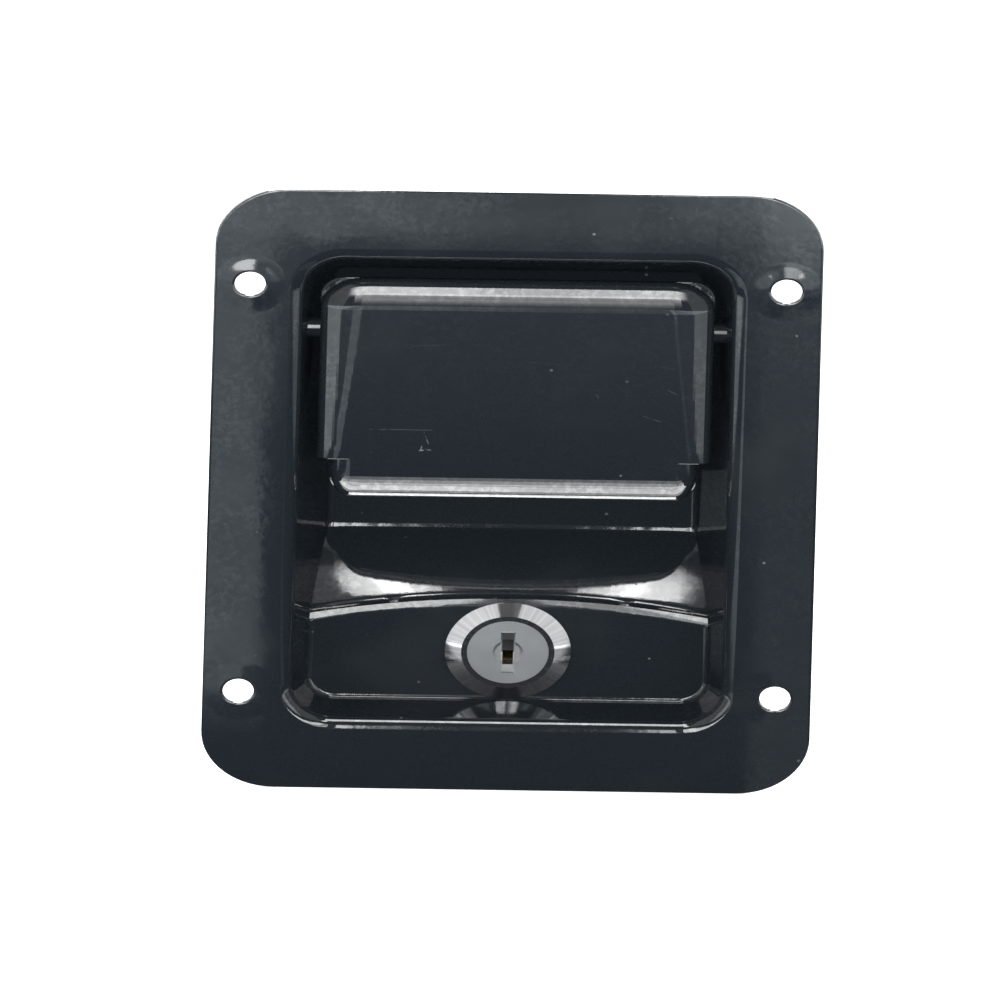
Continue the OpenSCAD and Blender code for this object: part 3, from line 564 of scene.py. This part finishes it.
# Lamps: mm from left to right, then degrees over the horizon, mm of floor or a place; glow is radiance
pressings, paddleOnly, panOnly = (panShell, nodes["hinge_pin"]), (paddleShell,), (panShell,)
lampFar = 1200.0  # mm
rollFade = (0.0, 0.35)
lamps = {
    "roll_left": {"across": (-700, -6), "height": (20, 52), "glow": 13.0, "on": paddleOnly,
                  "fadeOver": (0.15, 0.75), "fadeUp": rollFade},
    "roll_middle": {"across": (-6, 14), "height": (20, 52), "glow": 9.0, "on": paddleOnly, "fadeUp": rollFade},
    "roll_right": {"across": (14, 700), "height": (20, 52), "glow": 11.0, "on": paddleOnly,
                   "fadeOver": (0.85, 0.25), "fadeUp": rollFade},
    "roll_soft": {"across": (-300, 300), "height": (4, 28), "glow": 5.0, "on": paddleOnly, "fadeUp": (0.0, 0.9)},
    "roll_foot": {"across": (-100, 100), "height": (-3, 16), "glow": 1.8, "on": paddleOnly, "fadeUp": (0.0, 0.9)},
    "crest_left": {"across": (-260, -33), "height": (-3, 33), "glow": 11.0, "on": pressings},
    "crest_right": {"across": (33, 110), "height": (-3, 33), "glow": 4.5, "on": pressings},
    "crest_end": {"across": (110, 260), "height": (-3, 33), "glow": 11.0, "on": pressings},
    "foot_left": {"across": (-33, -26), "height": (4, 28), "glow": 12.0, "on": pressings},
    "foot_right": {"across": (26, 33), "height": (4, 28), "glow": 12.0, "on": pressings},
    "ramp_left_in": {"across": (-205, -75), "height": (56.5, 65.5), "glow": 12.0, "on": pressings, "round": True},
    "ramp_left_out": {"across": (-240, -105), "height": (53.5, 62.5), "glow": 12.0, "on": pressings, "round": True},
    "ramp_right_in": {"across": (75, 220), "height": (56.5, 65.5), "glow": 12.0, "on": pressings, "round": True},
    "ramp_right_out": {"across": (110, 295), "height": (52.5, 62.5), "glow": 13.0, "on": pressings, "round": True},
    "rim": {"across": (-200, 200), "height": (66, 86), "glow": 12.0, "on": panOnly},
    "side_left": {"at": (-700, -950, 190), "size": (420, 500), "glow": 2.4, "on": panOnly},
    "side_right": {"at": (700, -950, 190), "size": (420, 500), "glow": 2.4, "on": panOnly},
    "lip_under": {"across": (-33, 33), "floor": (12, 0), "level": -24.0, "glow": 12.0, "on": paddleOnly},
    "lip_dip": {"across": (-56, 56), "floor": (-1.6, -6.2), "level": -17.0, "glow": 4.5, "on": paddleOnly},
    "lip_left": {"across": (-56, 1), "floor": (-6.2, -15.9), "level": -17.0, "glow": 13.0, "on": paddleOnly},
    "lip_right": {"across": (1, 56), "floor": (-6.2, -15.9), "level": -17.0, "glow": 11.0, "on": paddleOnly},
    "lip_middle": {"across": (-56, 56), "floor": (-15.9, -19), "level": -17.0, "glow": 8.0, "on": paddleOnly},
    "lip_front": {"across": (-56, 56), "floor": (-19, -24), "level": -17.0, "glow": 11.0, "on": paddleOnly},
    "lip_soft": {"across": (-56, 56), "floor": (-24, -32.5), "level": -17.0, "glow": 5.5, "on": paddleOnly},
    "lip_fade": {"across": (-56, 56), "floor": (-32.5, -47), "level": -17.0, "glow": 2.2, "on": paddleOnly},
    "lock_front": {"at": (0, -600, 130), "size": (900, 400), "glow": 0.6, "on": (plugBroach,)},
    "bezel_left": {"across": (-500, -60), "floor": (-10, -210), "level": -69.5, "glow": 0.6, "on": (barrelThread,)},
    "bezel_right": {"across": (60, 500), "floor": (-10, -210), "level": -69.5, "glow": 0.4, "on": (barrelThread,)},
    "back_left": {"at": (-420, 520, 330), "size": (520, 520), "glow": 3.0},
    "back_right": {"at": (460, 480, 260), "size": (480, 520), "glow": 2.4},
    "box_left": {"at": (-384, -240, 211), "size": (580, 740), "glow": 0.75},
    "box_right": {"at": (384, -240, 211), "size": (560, 740), "glow": 0.68},
}


def lampPlace(lamp):
    # Where the lamp stands, its size and what it points at
    if "at" in lamp:
        return Vector(lamp["at"]), lamp["size"], Vector((0, 0, 0))
    middle, width = sum(lamp["across"]) / 2, lamp["across"][1] - lamp["across"][0]
    if "floor" in lamp:
        near, far = lamp["floor"]
        spot = Vector((middle, (near + far) / 2, lamp["level"]))
        return spot, (width, near - far), spot + Vector((0, 0, 50))
    low, high = [math.radians(angle) for angle in lamp["height"]]
    turn, aim = (low + high) / 2, Vector((middle, 0, 0))
    spot = aim + Vector((0, -lampFar * math.cos(turn), lampFar * math.sin(turn)))
    return spot, (width, 2 * lampFar * math.tan((high - low) / 2)), aim


def fadeLamp(name, lamp, lightData):
    # The lamp fades out towards its edge
    f = Finish(name, lightData)
    over, up, _ = f.axes(f.add("ShaderNodeNewGeometry", output="Parametric"))
    if "round" in lamp:
        wide, tall = over * 2 - 1, up * 2 - 1
        strength = f.fade(wide * wide + tall * tall, 1.0, 0.0)
    else:
        strength = f.fade(over, *lamp.get("fadeOver", (-1, 0))) * f.fade(up, *lamp.get("fadeUp", (-1, 0)))
    glow = f.add("ShaderNodeEmission", sockets={"Strength": strength})
    f.add("ShaderNodeOutputLight", sockets={"Surface": glow})


for name, lamp in lamps.items():
    spot, size, aim = lampPlace(lamp)
    bpy.ops.object.light_add(type="AREA", location=spot * mm)
    light = bpy.context.object
    light.name = name
    light.data.shape = "ELLIPSE" if "round" in lamp else "RECTANGLE"
    light.data.size, light.data.size_y = [s * mm for s in size]
    light.data.energy = lamp["glow"] * math.pi * size[0] * size[1] * mm * mm
    light.rotation_euler = (aim - spot).to_track_quat("-Z", "Y").to_euler()
    light.visible_camera = False
    if {"round", "fadeOver", "fadeUp"} & set(lamp):
        fadeLamp(name, lamp, light.data)
    if "on" in lamp:  # a highlight for these pieces alone
        light.visible_diffuse = False
        receivers = bpy.data.collections.new(name + "_on")
        for piece in lamp["on"]:
            receivers.objects.link(piece)
        light.light_linking.receiver_collection = receivers

suns = {  # degrees
    "fill": {"turn": 80, "soft": 25, "energy": 1.7, "shadow": False},
    "back_sun": {"turn": -55, "soft": 25, "energy": 2.6, "shadow": True},
}
for name, row in suns.items():
    bpy.ops.object.light_add(type="SUN", rotation=(math.radians(row["turn"]), 0, 0))
    sun = bpy.context.object
    sun.name = name
    sun.data.energy = row["energy"]
    sun.data.angle = math.radians(row["soft"])
    sun.data.use_shadow = row["shadow"]
    sun.visible_glossy = row["shadow"]
print("stage lit:", len(lamps) + len(suns), "lamps")


# Camera: parallel view, fitted to the photograph's own stretch. The picture is squeezed in height, so
# the camera's X axis leans back along the view, which widens the picture and nothing else.
photoFit = {
    "elevation": 9.5,
    "side": 1000,                  # pixels along the picture's side
    "centre": (512.5, 491.5),      # pixel of the middle of the screw holes
    "perAcross": (5.635, -0.084),  # pixels to the right and up for each mm to the right
    "perUp": (0.126, 4.273),       # pixels to the right and up for each mm up
    "back": 1.0,                   # metres from the flange
    "flangeFront": -1.6 * mm,
}
tip = math.radians(photoFit["elevation"])
look = Vector((0, math.cos(tip), -math.sin(tip)))
upright = Vector((0, math.sin(tip), math.cos(tip)))
(ax, ay), (ux, uy) = photoFit["perAcross"], [v / math.cos(tip) for v in photoFit["perUp"]]
area = ax * uy - ay * ux
pixelRight = (Vector((uy, 0, 0)) - upright * ay) / area * mm
pixelUp = (Vector((-ux, 0, 0)) + upright * ax) / area * mm
pixel = max(pixelRight.length, pixelUp.length)


def leaned(step):
    flat = step / pixel
    return flat - look * math.sqrt(max(0.0, 1 - flat.length_squared))


bpy.ops.object.camera_add()
camera = bpy.context.object
camera.data.type = "ORTHO"
camera.data.ortho_scale = photoFit["side"] * pixel
camera.data.clip_end = 10
half, (centreX, centreY) = photoFit["side"] / 2, photoFit["centre"]
middle = pixelRight * (half - centreX) + pixelUp * (centreY - half)
spot = middle - look * photoFit["back"] + Vector((0, photoFit["flangeFront"], 0))
columns = [leaned(pixelRight), leaned(pixelUp), -look, spot]
bpy.ops.object.empty_add()
rig = bpy.context.object
rig.name = "camera_rig"
camera.parent = rig
camera.matrix_parent_inverse = Matrix([[c[i] for c in columns] for i in range(3)] + [[0, 0, 0, 1]])
bpy.context.scene.camera = camera
bpy.context.scene.view_settings.view_transform = "Standard"
print("camera set")
